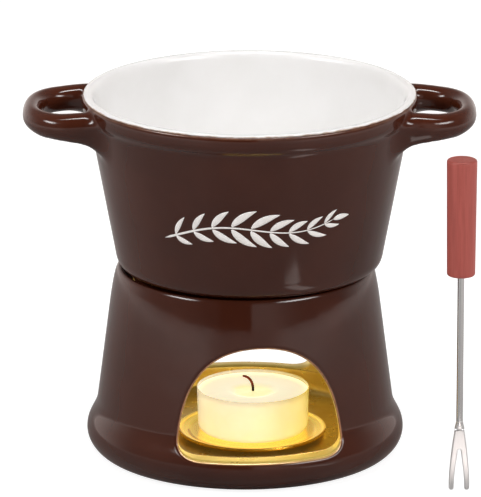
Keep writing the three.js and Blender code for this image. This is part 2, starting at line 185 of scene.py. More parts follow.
def stand_outline():
    """The stand's section, with no arches. It starts and ends beyond the axis."""
    neck_r, neck_z = STAND_NECK
    shoulder_r, shoulder_z = STAND_SHOULDER
    ledge_r, ledge_z = STAND_LEDGE
    inner = stand_inside(neck_z)
    top = STAND_TOP
    o = Outline(-8, STAND_HOLLOW)
    o.line(STAND_FOOT_RING - 1.6, STAND_HOLLOW)
    o.curve((STAND_FOOT_RING - 0.6, STAND_HOLLOW), (STAND_FOOT_RING - 0.5, 0), (STAND_FOOT_RING + 1, 0))
    o.line(STAND_CONTACT, 0)
    o.curve((STAND_CONTACT + 2.6, 0.2), (STAND_BEAD, 3.4), (STAND_BEAD, STAND_BEAD_Z))
    o.curve((STAND_BEAD, STAND_BEAD_Z + 4.6), (neck_r + 0.6, neck_z - 5), (neck_r, neck_z))
    slope = (shoulder_r - neck_r) / (shoulder_z - neck_z)
    bend_r, bend_z = shoulder_r - 0.35, shoulder_z + 0.6
    start, middle = STAND_BEND
    o.line(neck_r + slope * (start - neck_z), start)
    o.curve((neck_r + slope * (middle - neck_z), middle), (bend_r, bend_z))
    o.curve((bend_r - 0.2 * (top - bend_z), top - 0.1), (STAND_LIP + 1.2, top))
    o.curve((STAND_LIP + 0.1, top), (STAND_LIP, top - 0.8))
    o.line(STAND_LIP, ledge_z + 0.6)
    o.curve((STAND_LIP, ledge_z), (STAND_LIP - 0.6, ledge_z))
    o.line(ledge_r + 0.8, ledge_z)
    o.curve((ledge_r, ledge_z), (ledge_r, ledge_z - 0.8))
    o.curve((ledge_r - 0.1, ledge_z - 3.4), (stand_inside(ledge_z - 8), ledge_z - 8))
    o.line(inner, neck_z)
    o.line(inner, STAND_FLOOR + 3.5)
    o.curve((inner, STAND_FLOOR), (inner - 3.5, STAND_FLOOR))
    o.line(-8, STAND_FLOOR)
    return o.array()


def arch_outline(sill):
    """An arch's outline, seen along the arch: across in x, height in y."""
    half = ARCH_HALF
    wide = sill + ARCH_HAUNCH
    inward, outward, rise = ARCH_CORNER
    lean, drop = ARCH_FLANK
    spring = ARCH_TOP - drop
    o = Outline(-SILL_HALF, sill)
    o.line(SILL_HALF, sill)
    o.curve((half - inward, sill), (half + outward, sill + rise), (half, wide))
    o.curve((half - lean, spring), (ARCH_CROWN, ARCH_TOP), (0, ARCH_TOP))
    o.curve((-ARCH_CROWN, ARCH_TOP), (-half + lean, spring), (-half, wide))
    o.curve((-half - outward, sill + rise), (-half + inward, sill), (-SILL_HALF, sill))
    return o.array()[:-1]


def arch_axes(x, y, turn=ARCH_TURN):
    """How far a place is to the side in an arch and how far ahead, from the stand's axis."""
    return x * math.cos(turn) + y * math.sin(turn), x * math.sin(turn) - y * math.cos(turn)


def pot_outline():
    """The outside of the pot, filled in above. The thicker collar under the rim has a soft lower edge."""
    collar_r, collar_z = POT_COLLAR
    corner_r, corner_z = POT_CORNER
    foot = POT_FOOT_Z
    under = POT_TOP - GLAZE_THICK
    o = Outline(-8, foot + 1.1)
    o.line(POT_FOOT_RING - 1, foot + 1.1)
    o.curve((POT_FOOT_RING, foot + 1.1), (POT_FOOT_RING + 0.2, foot), (POT_FOOT_RING + 1, foot))
    o.line(POT_FOOT - 0.8, foot)
    o.curve((POT_FOOT, foot), (POT_FOOT, foot + 0.8))
    o.line(POT_FOOT, POT_STEP - 0.5)
    o.curve((POT_FOOT, POT_STEP), (POT_FOOT + 0.5, POT_STEP))
    o.line(POT_FOOT + 1, POT_STEP)
    o.curve((POT_FOOT + 4.4, POT_STEP + 0.2), (corner_r - 0.5, corner_z - 3.6), (corner_r, corner_z))
    o.line(collar_r, collar_z)
    rim = POT_RIM - 0.1
    o.curve((collar_r + 0.5, collar_z + 2.6), (rim - 0.2, collar_z + 2.4), (rim, collar_z + 5))
    o.line(POT_RIM, POT_TOP - 2.2)
    o.curve((POT_RIM, under + 0.05), (POT_RIM - 1.3, under + 0.05))
    o.line(POT_RIM - 2.4, under)
    o.line(-8, under)
    return o.array()


def draw_bowl(outline, inset):
    """The bowl's surface from its floor up to the rim, moved outwards and down."""
    corner_r, corner_z = BOWL_CORNER
    low = BOWL_FLOOR - inset
    corner = corner_r + inset
    mouth = BOWL_MOUTH + inset
    outline.line(BOWL_FLAT, low, 12)
    outline.curve((BOWL_FLAT + 6, low), (corner - 1, corner_z - 4), (corner, corner_z))
    outline.line(mouth - 0.4, POT_TOP - 4, 20)
    top = POT_TOP - inset
    outline.curve((mouth, POT_TOP - 2), (mouth + 0.4, top), (BOWL_MOUTH + 1.9, top))
    return outline


def bowl_outline():
    """The space that the bowl and its white glaze take out of the brown pot."""
    above = POT_TOP + 9
    o = draw_bowl(Outline(-8, BOWL_FLOOR - GLAZE_THICK), GLAZE_THICK)
    o.line(BOWL_MOUTH + 1.9, above)
    o.line(-8, above)
    return o.array()


# ---- Distance fields. Each takes x, y and z in millimetres and gives a distance, negative inside.

def outline_distance(outline, x, y):
    """Signed distance to a closed outline."""
    nearest = np.full(x.shape, np.inf)
    inside = np.zeros(x.shape, bool)
    for (ax, ay), (bx, by) in zip(outline, np.roll(outline, -1, axis=0)):
        ex, ey = bx - ax, by - ay
        share = np.clip(((x - ax) * ex + (y - ay) * ey) / (ex * ex + ey * ey), 0, 1)
        nearest = np.minimum(nearest, (x - ax - share * ex) ** 2 + (y - ay - share * ey) ** 2)
        if ay != by:
            inside ^= ((ay > y) != (by > y)) & (x < ax + (y - ay) / (by - ay) * ex)
    return np.where(inside, -1, 1) * np.sqrt(nearest)


class Section:
    """Distance to an outline, exact for a few points and read from a table for a whole grid."""

    STEP = 0.4

    def __init__(self, outline, low, high):
        self.outline = outline
        self.low = np.array(low, float)
        self.count = np.ceil((np.array(high) - self.low) / self.STEP).astype(int) + 2
        u = self.low[0] + self.STEP * np.arange(self.count[0])
        v = self.low[1] + self.STEP * np.arange(self.count[1])
        self.table = outline_distance(outline, *np.meshgrid(u, v, indexing="ij"))

    def __call__(self, u, v):
        if u.ndim == 1:
            return outline_distance(self.outline, u, v)
        a = np.clip((u - self.low[0]) / self.STEP, 0, self.count[0] - 1.001)
        b = np.clip((v - self.low[1]) / self.STEP, 0, self.count[1] - 1.001)
        i, j = a.astype(int), b.astype(int)
        a, b = a - i, b - j
        t = self.table
        low = t[i, j] * (1 - a) + t[i + 1, j] * a
        high = t[i, j + 1] * (1 - a) + t[i + 1, j + 1] * a
        return low * (1 - b) + high * b


def ease(share):
    """A smooth step from 0 to 1."""
    share = np.clip(share, 0, 1)
    return share * share * (3 - 2 * share)


def smooth_join(a, b, width):
    """Union of two distances, with a fillet where they meet."""
    h = np.clip(0.5 + 0.5 * (b - a) / width, 0, 1)
    return b + (a - b) * h - width * h * (1 - h)


def smooth_cut(a, b, width):
    """What is left of a when b is cut out of it, with rounded edges."""
    return -smooth_join(-a, b, width)


def stand_field():
    """The turned stand with its two arches cut out."""
    section = Section(stand_outline(), (0, -4), (62, 70))
    arches = [(Section(arch_outline(sill), (-64, -4), (64, 70)), turn)
              for sill, turn in ((FRONT_SILL, ARCH_TURN), (REAR_SILL, ARCH_TURN + math.pi))]

    def arch(x, y, z):
        distances = []
        for outline, turn in arches:
            across, ahead = arch_axes(x - STAND_X, y, turn)
            distances.append(np.maximum(outline(across, z), ARCH_START - ahead))
        return np.minimum(*distances)

    def field(x, y, z):
        wall = section(np.hypot(x - STAND_X, y), z)
        return smooth_cut(wall, arch(x, y, z), ARCH_FILLET)

    return field, arch


def handle_distance(x, y, z):
    """Distance to the two loop handles: an oval bar along two arms and a half-elliptical bend."""
    ax, ay = np.abs(x), np.abs(y)
    bend = HANDLE_REACH - HANDLE_END_HALF - HANDLE_BEND
    steps = 24
    angles = np.linspace(0, math.pi / 2, steps + 1)
    line_x = [*(HANDLE_BEND + bend * np.abs(np.cos(angles)) ** HANDLE_SQUARE), HANDLE_ROOT]
    line_y = [*(HANDLE_ARM_Y * np.sin(angles) ** HANDLE_SQUARE), HANDLE_ARM_Y]
    across = np.full(x.shape, np.inf)
    sideways = np.zeros(x.shape)
    for i in range(steps + 1):
        ex, ey = line_x[i + 1] - line_x[i], line_y[i + 1] - line_y[i]
        share = np.clip(((ax - line_x[i]) * ex + (ay - line_y[i]) * ey) / (ex * ex + ey * ey), 0, 1)
        off = np.hypot(ax - line_x[i] - share * ex, ay - line_y[i] - share * ey)
        nearer = off < across
        across = np.where(nearer, off, across)
        sideways = np.where(nearer, (line_y[i] + share * ey) / HANDLE_ARM_Y, sideways)
    half = HANDLE_END_HALF + (HANDLE_ARM_HALF - HANDLE_END_HALF) * sideways**2
    near, far = HANDLE_SAG_FROM
    sag = HANDLE_SAG * ease((ax - near) / (far - near))
    up = z - (HANDLE_TOP - HANDLE_HALF_HEIGHT - sag)
    start, end = HANDLE_SLIM
    beyond = np.clip((ax - HANDLE_BEND) / bend, 0, 1)
    middle = HANDLE_ARM_Y * (1 - beyond ** (2 / HANDLE_SQUARE)) ** (HANDLE_SQUARE / 2)
    inner, outer = HANDLE_DEEPENING
    power = inner + (outer - inner) * ease(0.5 + (ay - middle) / HANDLE_ARM_HALF)
    deeper = np.clip((start - ax) / (start - end), 0, 1) ** power
    drop = HANDLE_DROP * deeper - HANDLE_TAPER * ease((ax - start) / (HANDLE_REACH - start))
    tall = np.where(up < 0, HANDLE_HALF_HEIGHT + drop, HANDLE_HALF_HEIGHT)
    scaled = np.hypot(across / half, up / tall)
    slope = np.hypot(across / half**2, up / tall**2) + 1e-9
    return scaled * (scaled - 1) / slope


def pot_field():
    """The pot with its handles grown on to it, and the bowl taken out."""
    outside = Section(pot_outline(), (0, 55), (84, 132))
    bowl = Section(bowl_outline(), (0, 55), (84, 132))
    under = POT_TOP - GLAZE_THICK + 0.05

    def field(x, y, z):
        r = np.hypot(x, y)
        above = ease((z - HANDLE_TOP + HANDLE_HALF_HEIGHT) / HANDLE_HALF_HEIGHT)
        fillet = HANDLE_FILLET + (HANDLE_TOP_FILLET - HANDLE_FILLET) * above
        grown = smooth_join(outside(r, z), handle_distance(x, y, z), fillet)
        level = -smooth_join(-grown, under - z, 0.5)
        return np.maximum(level, -bowl(r, z))

    return field


# ---- Meshes

def surface_nets(field, low, high, step):
    """Points and quads of the surface where a field is 0, inside a box."""
    axes = [np.arange(low[i], high[i] + step, step) for i in range(3)]
    value = field(*np.meshgrid(*axes, indexing="ij"))
    shape = np.array(value.shape)
    cells, points, quads = [], [], []
    for axis in range(3):
        here = np.take(value, range(shape[axis] - 1), axis)
        there = np.take(value, range(1, shape[axis]), axis)
        crossing = np.argwhere((here < 0) != (there < 0))
        start = here[tuple(crossing.T)]
        share = start / (start - there[tuple(crossing.T)])
        place = crossing.astype(float)
        place[:, axis] += share
        second, third = (axis + 1) % 3, (axis + 2) % 3
        ring = []
        for step_2, step_3 in ((0, 0), (-1, 0), (-1, -1), (0, -1)):
            cell = crossing.copy()
            cell[:, second] += step_2
            cell[:, third] += step_3
            ring.append(np.ravel_multi_index(tuple(cell.T), tuple(shape)))
        ring = np.stack(ring, 1)
        ring[start > 0] = ring[start > 0][:, ::-1]
        quads.append(ring)
        cells.append(ring.ravel())
        points.append(np.repeat(place, 4, axis=0))
    used, index = np.unique(np.concatenate(cells), return_inverse=True)
    points = np.concatenate(points)
    count = np.bincount(index)
    mean = np.stack([np.bincount(index, points[:, i]) / count for i in range(3)], 1)
    return mean * step + np.array(low), index.reshape(-1, 4)


def gradient(field, points, reach=0.25):
    """Direction in which a field grows, as vectors that aren't unit length."""
    out = np.empty_like(points)
    for i in range(3):
        offset = np.zeros(3)
        offset[i] = reach
        ahead = field(*(points + offset).T)
        behind = field(*(points - offset).T)
        out[:, i] = (ahead - behind) / (2 * reach)
    return out


def settle(field, points, rounds=3):
    """Points moved on to the surface of a field, and the unit normals there."""
    for _ in range(rounds):
        slope = gradient(field, points)
        size = np.maximum((slope**2).sum(1), 0.05)
        points = points - slope * (field(*points.T) / size)[:, None]
    slope = gradient(field, points)
    return points, slope / np.maximum(np.linalg.norm(slope, axis=1), 1e-6)[:, None]


def new_mesh(name, points, faces):
    """A smooth-shaded object from points in millimetres."""
    mesh = bpy.data.meshes.new(name)
    mesh.from_pydata([tuple(p) for p in np.asarray(points) * MM], [], [tuple(f) for f in faces])
    mesh.update()
    mesh.shade_smooth()
    obj = bpy.data.objects.new(name, mesh)
    bpy.context.scene.collection.objects.link(obj)
    return obj


def field_mesh(name, field, low, high, step):
    """A piece from a distance field, with the field's own normals."""
    points, quads = surface_nets(field, low, high, step)
    points, normals = settle(field, points)
    obj = new_mesh(name, points, quads.tolist())
    obj.data.normals_split_custom_set_from_vertices([tuple(n) for n in normals])
    return obj, points


def set_attribute(obj, name, values):
    """A number for each point of a mesh, for its material."""
    layer = obj.data.attributes.new(name, "FLOAT", "POINT")
    layer.data.foreach_set("value", np.asarray(values, np.float32))


def band_faces(rows, count, closed=False):
    """Quads between rings of points, and from the last ring back to the first if it is closed."""
    faces = []
    for i in range(rows if closed else rows - 1):
        above = (i + 1) % rows
        for j in range(count):
            k = (j + 1) % count
            faces.append((i * count + j, i * count + k, above * count + k, above * count + j))
    return faces


def turned(name, outline, flats=128, centre=(0, 0), wobble=None):
    """A piece turned round the Z axis from an outline in (radius, height).

    The outline starts and ends on the axis, or else it is closed on itself. It runs anticlockwise with
    the radius to the right. wobble moves a point, given radius, height and angle.
    """
    outline = np.asarray(outline, float)
    closed = outline[0, 0] > 1e-6
    if closed and np.allclose(outline[0], outline[-1]):
        outline = outline[:-1]
    angles = np.linspace(0, 2 * math.pi, flats, endpoint=False)
    body = outline if closed else outline[1:-1]
    r, a = np.meshgrid(body[:, 0], angles, indexing="ij")
    z = np.repeat(body[:, 1], flats).reshape(r.shape)
    if wobble:
        r, z = wobble(r, z, a)
    points = np.stack([r * np.cos(a), r * np.sin(a), z], -1).reshape(-1, 3)
    faces = band_faces(len(body), flats, closed)
    if not closed:
        points = np.vstack([points, [[0, 0, outline[0, 1]], [0, 0, outline[-1, 1]]]])
        low, high = len(points) - 2, len(points) - 1
        last = (len(body) - 1) * flats
        for j in range(flats):
            k = (j + 1) % flats
            faces.append((low, k, j))
            faces.append((high, last + j, last + k))
    points[:, :2] += centre
    return new_mesh(name, points, faces)


def lofted(name, rings):
    """A closed piece through rings of points, each anticlockwise as seen from the last."""
    rings = np.asarray(rings, float)
    rows, count = rings.shape[:2]
    ends = [tuple(reversed(range(count))), tuple(range((rows - 1) * count, rows * count))]
    return new_mesh(name, rings.reshape(-1, 3), ends + band_faces(rows, count))


def swept(name, path, radius, sides=12, dome=3):
    """A round rod along a smooth path, with domed ends."""
    path = np.asarray(path, float)
    radius = np.broadcast_to(np.asarray(radius, float), len(path))
    tangent = np.gradient(path, axis=0)
    tangent /= np.linalg.norm(tangent, axis=1)[:, None]
    side = np.cross(tangent[0], (0, 1, 0))
    if np.linalg.norm(side) < 0.1:
        side = np.cross(tangent[0], (1, 0, 0))
    rings = []
    angles = np.linspace(0, 2 * math.pi, sides, endpoint=False)
    for i, (p, t, r) in enumerate(zip(path, tangent, radius)):
        side = side - t * (side @ t)
        side /= np.linalg.norm(side)
        other = np.cross(t, side)
        circle = np.outer(np.cos(angles), side) + np.outer(np.sin(angles), other)
        ends = []
        if i == 0:
            ends = [(-math.sin(a), math.cos(a)) for a in np.linspace(1.4, 0, dome)]
        elif i == len(path) - 1:
            ends = [(math.sin(a), math.cos(a)) for a in np.linspace(0, 1.4, dome)]
        for along, out in ends or [(0, 1)]:
            rings.append(p + t * along * r + circle * r * out)
    return lofted(name, rings)


# ---- Materials

class Nodes:
    """A node tree being made, with short names for the nodes that the looks here need."""

    def __init__(self, tree):
        self.tree = tree

    def node(self, kind, **settings):
        made = self.tree.nodes.new(kind)
        for key, value in settings.items():
            setattr(made, key, value)
        return made

    def feed(self, socket, value):
        """A socket gets a link or a plain value."""
        if isinstance(value, bpy.types.NodeSocket):
            self.tree.links.new(value, socket)
        else:
            socket.default_value = value

    def remap(self, value, low, high, to_low=0.0, to_high=1.0, smooth=True):
        made = self.node("ShaderNodeMapRange", interpolation_type="SMOOTHSTEP" if smooth else "LINEAR")
        for key, given in zip(("Value", "From Min", "From Max", "To Min", "To Max"),
                              (value, low, high, to_low, to_high)):
            self.feed(made.inputs[key], given)
        return made.outputs["Result"]

    def math(self, operation, a, b=0.0):
        made = self.node("ShaderNodeMath", operation=operation)
        self.feed(made.inputs[0], a)
        self.feed(made.inputs[1], b)
        return made.outputs["Value"]

    def times(self, *values):
        """All of them multiplied."""
        product = values[0]
        for value in values[1:]:
            product = self.math("MULTIPLY", product, value)
        return product

    def split(self, vector):
        """A vector's three parts."""
        made = self.node("ShaderNodeSeparateXYZ")
        self.feed(made.inputs["Vector"], vector)
        return made.outputs

    def seen_by_camera(self):
        return self.node("ShaderNodeLightPath").outputs["Is Camera Ray"]


class Paint(Nodes):
    """A material of the principled shader. Its patterns use the object's own coordinates."""

    def __init__(self, name, **inputs):
        self.material = bpy.data.materials.new(name)
        self.material.use_nodes = True
        super().__init__(self.material.node_tree)
        self.shader = self.tree.nodes["Principled BSDF"]
        self.place = self.node("ShaderNodeTexCoord").outputs["Object"]
        for key, value in inputs.items():
            self.set(key.replace("_", " "), value)

    def set(self, key, value):
        """One of the shader's inputs, by its name in any case."""
        socket = next(s for s in self.shader.inputs if s.name.lower() == key.lower())
        if isinstance(value, tuple) and len(value) == 3 and socket.type == "RGBA":
            value = (*value, 1)
        self.feed(socket, value)

    def stretched(self, scale):
        """The object's own coordinates, multiplied."""
        mapping = self.node("ShaderNodeMapping")
        self.feed(mapping.inputs["Vector"], self.place)
        mapping.inputs["Scale"].default_value = scale
        return mapping.outputs["Vector"]

    def noise(self, size, detail=2.0, rough=0.5, vector=None):
        """Noise from 0 to 1, whose lumps are about size millimetres across."""
        made = self.node("ShaderNodeTexNoise")
        self.feed(made.inputs["Vector"], vector or self.place)
        made.inputs["Scale"].default_value = 1 / (size * MM)
        made.inputs["Detail"].default_value = detail
        made.inputs["Roughness"].default_value = rough
        return made.outputs["Fac"]

    def varied(self, size, detail, low=0.0, high=1.0):
        """A number that drifts from low to high over the surface, in soft patches of a size."""
        return self.remap(self.noise(size, detail), 0.3, 0.7, low, high)

    def mix(self, share, a, b):
        """One colour into another."""
        made = self.node("ShaderNodeMix", data_type="RGBA")
        self.feed(made.inputs["Factor"], share)
        for socket, value in ((made.inputs["A"], a), (made.inputs["B"], b)):
            self.feed(socket, (*value, 1) if isinstance(value, tuple) else value)
        return made.outputs["Result"]

    def attribute(self, name):
        return self.node("ShaderNodeAttribute", attribute_name=name).outputs["Fac"]

    def axis(self, name, centre=0.0):
        """One of the object's own coordinates, in millimetres from a centre."""
        return self.math("SUBTRACT", self.math("DIVIDE", self.split(self.place)[name], MM), centre)

    def radius(self, x=0.0, y=0.0):
        """Distance from a vertical axis, in millimetres."""
        dx, dy = self.axis("X", x), self.axis("Y", y)
        return self.math("SQRT", self.math("ADD", self.times(dx, dx), self.times(dy, dy)))

    def bump(self, *layers):
        """Bumps on top of each other, each a height from 0 to 1 and its depth in millimetres."""
        normal = None
        for height, depth in layers:
            made = self.node("ShaderNodeBump")
            made.inputs["Distance"].default_value = depth * MM
            self.feed(made.inputs["Height"], height)
            if normal:
                self.feed(made.inputs["Normal"], normal)
            normal = made.outputs["Normal"]
        self.set("Normal", normal)


GOLD = (0.92, 0.62, 0.13)
INNER_GOLD = (0.93, 0.75, 0.28)  # inside the stand gold reflects gold, which deepens its colour again
THIN_GOLD = (0.84, 0.64, 0.20)
# painted shade: the lustre's darker brown in front, under the saucer, standing in for its shadow and
# reflection
PAINTED_SHADE_GOLD = (0.56, 0.34, 0.10)
CANDLE_GLOW = (1.0, 0.70, 0.12)  # the flame's light on the gold round it


def patchy_gold(p):
    """Colour of the lustre, with a few thin patches."""
    return p.mix(p.remap(p.noise(7, 3), 0.35, 0.7), INNER_GOLD, THIN_GOLD)


def brown_glaze(name):
    """Dark chocolate glaze, glossy, with faint clouds and specks, as its paint and its colour."""
    p = Paint(name, Specular_IOR_Level=0.5)
    base = p.mix(p.varied(26, 3), (0.060, 0.0140, 0.0062), (0.074, 0.0180, 0.0085))
    base = p.mix(p.remap(p.noise(0.9, 2, 0.6), 0.62, 0.8, 0, 0.3), base, (0.095, 0.028, 0.014))
    p.set("Base Color", base)
    p.set("Roughness", p.varied(9, 3, 0.07, 0.12))
    p.bump((p.noise(14, 2), 0.10), (p.noise(1.3, 2), 0.005))
    return p, base


def stand_glaze():
    """Brown glaze outside and gold lustre inside, with painted light along the arches: a thin pinkish
    line, the flame's glow on their edges. The seat of the pot is bare brown clay."""
    p, base = brown_glaze("brown_glaze_stand")
    arch = p.attribute("arch")
    depth = p.attribute("depth")
    inside = p.remap(depth, 0.7, 1.5)
    # painted light: a thin pinkish line on the arches' edges, standing in for the flame's glow on them
    line = p.times(p.remap(arch, 0.10, 0.35), p.remap(arch, 0.50, 0.95, 1.0, 0.0),
                   p.remap(depth, 0.9, 1.6, 1.0, 0.0), p.remap(p.noise(4, 2), 0.2, 0.6, 0.5, 1.0))
    colour = p.mix(inside, p.mix(line, base, (0.62, 0.30, 0.17)), patchy_gold(p))
    bare = p.attribute("bare")
    p.set("Base Color", p.mix(bare, colour, (0.045, 0.018, 0.010)))
    p.set("Metallic", p.times(inside, 0.8))
    polish = p.math("ADD", p.varied(9, 3, 0.07, 0.12), p.times(inside, 0.20))
    p.set("Roughness", p.math("ADD", polish, p.times(bare, 0.7)))
    # painted light: the gold inside glows in the flame's colour, brightest on the floor and low walls
    p.set("Emission Color", CANDLE_GLOW)
    p.set("Emission Strength", p.times(inside, p.remap(p.axis("Z"), 12, 15, 0.27, 0.065)))
    return p.material


def pot_glaze():
    """Brown glaze all over, slightly thin and lighter where it meets the white rim."""
    p, base = brown_glaze("brown_glaze_pot")
    thin = p.times(p.remap(p.axis("Z"), POT_TOP - 1.6, POT_TOP - 0.8), p.varied(3, 2, 0.15, 0.45))
    p.set("Base Color", p.mix(thin, base, (0.35, 0.19, 0.12)))
    return p.material


def white_glaze():
    """Warm white glaze, a little thinner and greyer at the rim's outer edge."""
    p = Paint("white_glaze", Specular_IOR_Level=0.5)
    base = p.mix(p.varied(18, 3), (0.88, 0.875, 0.865), (0.91, 0.905, 0.90))
    ragged = p.math("ADD", p.radius(), p.remap(p.noise(4, 2), 0.2, 0.8, -0.2, 0.2))
    edge = p.remap(ragged, POT_RIM - 0.75, POT_RIM - 0.35)
    p.set("Base Color", p.mix(edge, base, (0.50, 0.36, 0.28)))
    p.set("Roughness", p.varied(7, 2, 0.07, 0.12))
    p.bump((p.noise(12, 2), 0.06), (p.noise(1.2, 2), 0.005))
    return p.material


def gold_lustre():
    """Fired gold lustre: a mirror on the glaze, with the glaze's waves, and a faint painted glow of the
    flame.
    Near the front arch it is painted brown: a painted shadow and reflection of the saucer's dark
    underside."""
    # painted light: a faint glow in the flame's colour
    p = Paint("gold_lustre", Metallic=0.92, Emission_Color=CANDLE_GLOW, Emission_Strength=0.03)
    # painted shade: browner towards the front, where the saucer shades and darkly mirrors the floor
    front = p.remap(p.axis("Y"), -38, -24, 1.0, 0.0)
    p.set("Base Color", p.mix(front, patchy_gold(p), PAINTED_SHADE_GOLD))
    p.set("Roughness", p.varied(5, 3, 0.26, 0.36))
    p.bump((p.noise(9, 2), 0.12), (p.noise(1.1, 2), 0.006))
    return p.material


def gold_metal():
    """Polished gold-coloured sheet metal, with fine turning marks and handling scratches. The flame
    lights its upper side."""
    p = Paint("gold_metal", Metallic=1.0, Emission_Color=CANDLE_GLOW)
    radius = p.radius(CANDLE_X, CANDLE_Y)
    middle = p.remap(radius, SAUCER_FLANGE - 1.9, SAUCER_FLANGE, 0.3, 0.9)  # half way through the sheet
    upper = p.remap(p.math("SUBTRACT", p.axis("Z", SAUCER_LOW[2]), middle), 0.05, 0.15)
    within = p.remap(radius, SAUCER_RADIUS - 0.35, SAUCER_RADIUS - 0.1, 1.0, 0.0)
    p.set("Emission Strength", p.times(p.remap(radius, 19.5, 22.5, 0.22, 0.44), upper, within))
    rings = p.node("ShaderNodeCombineXYZ")
    p.feed(rings.inputs["X"], p.math("MULTIPLY", radius, 0.004))
    turning = p.noise(1, 3, 0.6, rings.outputs["Vector"])
    p.set("Base Color", p.mix(p.varied(8, 2), GOLD, (0.95, 0.60, 0.09)))
    p.set("Roughness", p.remap(turning, 0.3, 0.7, 0.22, 0.34))
    p.bump((turning, 0.012), (p.noise(0.5, 2, vector=p.stretched((1, 0.1, 1))), 0.002))
    return p.material


def candle_cup():
    """Thin translucent cup, yellowed by the light that comes through it."""
    p = Paint("clear_cup", Roughness=0.15, IOR=1.45, Transmission_Weight=0.5)
    height = p.remap(p.axis("Z"), CUP_LOW[2] - 2, CUP_HIGH[2] + 2, smooth=False)
    shade = p.remap(p.axis("X", CANDLE_X), -4, 20)
    p.set("Base Color", p.mix(p.varied(5, 2), (1.0, 0.97, 0.86), (1.0, 0.95, 0.80)))
    glow = p.mix(height, (1.0, 0.82, 0.50), (1.0, 0.90, 0.74))
    p.set("Emission Color", p.mix(shade, glow, (0.9, 0.66, 0.10)))
    p.set("Emission Strength", 0.20)
    p.bump((p.noise(3, 2), 0.02))
    return p.material


def cream_wax():
    """Cream wax lit from inside by the flame: brightest round the wick, deeper yellow at the melt pool."""
    p = Paint("cream_wax", Subsurface_Weight=0.6)
    p.shader.inputs["Subsurface Radius"].default_value = (0.006, 0.004, 0.0015)
    p.shader.inputs["Subsurface Scale"].default_value = 1.0
    radius = p.radius(CANDLE_X, CANDLE_Y)
    ragged = p.math("ADD", radius, p.remap(p.noise(7, 2), 0.2, 0.8, -1.2, 1.2))
    pool = p.remap(ragged, POOL_RADIUS - 2.0, POOL_RADIUS + 2.0, 1, 0)
    p.set("Base Color", p.mix(pool, (0.98, 0.95, 0.78), (0.97, 0.90, 0.48)))
    p.set("Emission Color", p.mix(pool, (1.0, 0.95, 0.70), (1.0, 0.94, 0.50)))
    p.set("Emission Strength", p.remap(radius, 0, 20, 0.88, 0.72))
    p.set("Roughness", p.remap(pool, 0, 1, 0.42, 0.12))
    p.bump((p.noise(4, 3), 0.05), (p.noise(0.6, 2), 0.006))
    return p.material


def burnt_wick():
    """Braided cotton, charred, with a dull red near its tip that is a painted glow of the ember."""
    p = Paint("burnt_wick", Roughness=0.95)
    braid = p.node("ShaderNodeTexWave", wave_type="BANDS", bands_direction="DIAGONAL")
    p.feed(braid.inputs["Vector"], p.place)
    braid.inputs["Scale"].default_value = 900
    braid.inputs["Distortion"].default_value = 1.5
    # painted light: the ember's red glow near the tip, given as colour
    ember_glow = p.remap(p.axis("Z"), CUP_HIGH[2] - 1.0, CUP_HIGH[2] + 2.0)
    base = p.mix(p.remap(braid.outputs["Fac"], 0.2, 0.8), (0.012, 0.006, 0.004), (0.06, 0.028, 0.018))
    p.set("Base Color", p.mix(ember_glow, base, (0.46, 0.070, 0.026)))
    p.bump((braid.outputs["Fac"], 0.12))
    return p.material


def fork_steel(name, shine):
    """Stainless steel with faint lengthwise brushing, as polished as shine says, from 0 to 1."""
    p = Paint(name, Metallic=1.0)
    brushed = p.noise(0.5, 3, 0.6, p.stretched((1, 1, 0.03)))
    p.set("Base Color", p.mix(p.remap(brushed, 0.3, 0.7), (0.86, 0.86, 0.86), (0.95, 0.95, 0.95)))
    satin = 0.30 * (1 - shine)
    p.set("Roughness", p.remap(brushed, 0.25, 0.75, 0.06 + satin, 0.14 + satin))
    p.bump((brushed, 0.004))
    return p.material


def tab_steel():
    """Thin stamped steel of the wick's tab."""
    p = Paint("tab_steel", Metallic=1.0)
    grain = p.noise(0.4, 3, 0.6, p.stretched((1, 0.05, 1)))
    p.set("Base Color", p.mix(grain, (0.55, 0.55, 0.54), (0.70, 0.70, 0.69)))
    p.set("Roughness", p.remap(grain, 0.3, 0.7, 0.25, 0.4))
    return p.material


def red_handle():
    """Red-brown stained wood under a satin lacquer, with fine grain along it. Its top is painted darker, a
    painted shade.
    """
    p = Paint("red_handle", Specular_IOR_Level=0.4, Coat_Weight=0.1, Coat_Roughness=0.4)
    grain = p.noise(1.1, 4, 0.6, p.stretched((1, 1, 0.05)))
    streak = p.noise(0.35, 2, 0.5, p.stretched((1, 1, 0.02)))
    tone = p.mix(p.remap(grain, 0.3, 0.7), (0.50, 0.108, 0.088), (0.60, 0.140, 0.114))
    tone = p.mix(p.remap(streak, 0.6, 0.78, 0, 0.35), tone, (0.42, 0.085, 0.062))
    # painted shade: the flat top is made darker than the sides
    shaded_top = p.remap(p.axis("Z"), FORK_HIGH[2] - 0.9, FORK_HIGH[2] - 0.3)
    p.set("Base Color", p.mix(shaded_top, tone, (0.34, 0.070, 0.054)))
    p.set("Roughness", p.remap(grain, 0.3, 0.7, 0.36, 0.46))
    p.bump((grain, 0.03), (streak, 0.015))
    return p.material


def sprig_white():
    """White overglaze enamel, slightly raised and uneven in its cover."""
    p = Paint("sprig_enamel", Roughness=0.22, Specular_IOR_Level=0.5)
    cover = p.noise(2.2, 3, 0.6)
    p.set("Base Color", p.mix(p.remap(cover, 0.3, 0.7), (0.86, 0.83, 0.80), (0.94, 0.92, 0.90)))
    # painted light: the enamel glows faintly white, brighter than its lighting would make it
    p.set("Emission Color", (1.0, 0.97, 0.94))
    p.set("Emission Strength", 0.24)
    p.bump((p.noise(0.8, 2), 0.02))
    return p.material


def paint(obj, material):
    obj.data.materials.clear()
    obj.data.materials.append(material)
    return obj


# ---- Stand

